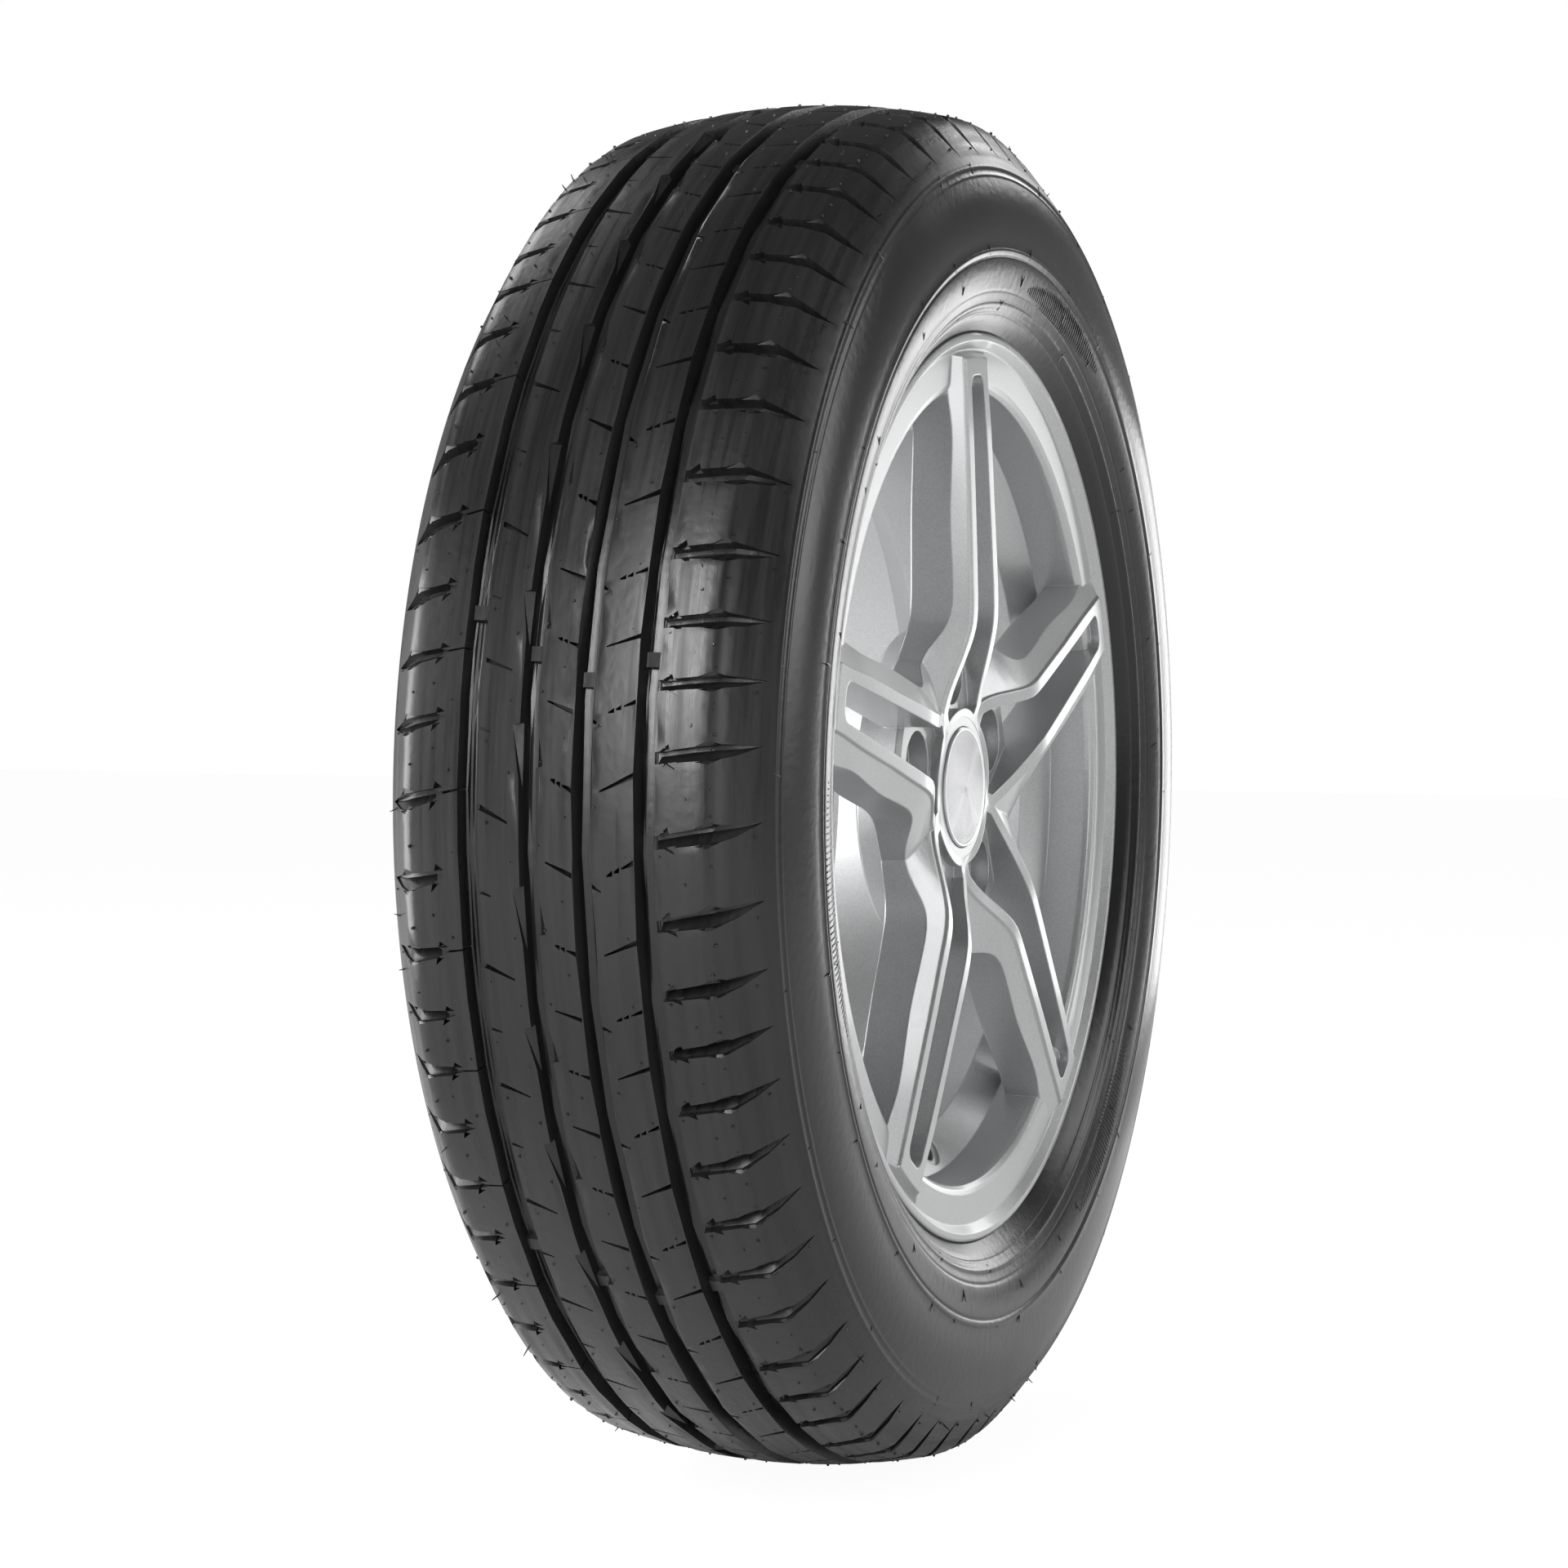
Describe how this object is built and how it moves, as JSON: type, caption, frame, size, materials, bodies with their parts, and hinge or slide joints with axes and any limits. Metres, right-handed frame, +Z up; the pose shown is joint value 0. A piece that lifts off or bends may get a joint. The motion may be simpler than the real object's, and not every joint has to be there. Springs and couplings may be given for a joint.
{
  "type": "car wheel with tyre",
  "caption": "Passenger-car tyre with an asymmetric grooved tread, fitted to a cast alloy wheel with twin spokes and a snap-in centre cap.",
  "frame": {"origin": "centre of the wheel, on the axle line and in the middle plane of the rim and tyre", "axes": "+Y along the axle towards the car, so that the street side faces -Y; +Z up and +X to the right seen from the street"},
  "size_m": [0.5866, 0.1672, 0.5866],
  "materials": {
    "tyre_rubber": "satin black rubber",
    "wheel_paint": "bright silver metallic lacquer on cast aluminium",
    "cap_plastic": "silver-painted plastic",
    "cap_metal": "spun",
    "ring_steel": "spring steel"
  },
  "bodies": {
    "root": {"tyre": "tyre_rubber", "alloy_wheel": "wheel_paint", "centre_cap": "cap_plastic", "cap_face_disc": "cap_metal", "cap_retaining_ring": "ring_steel"}
  },
  "joints": []
}
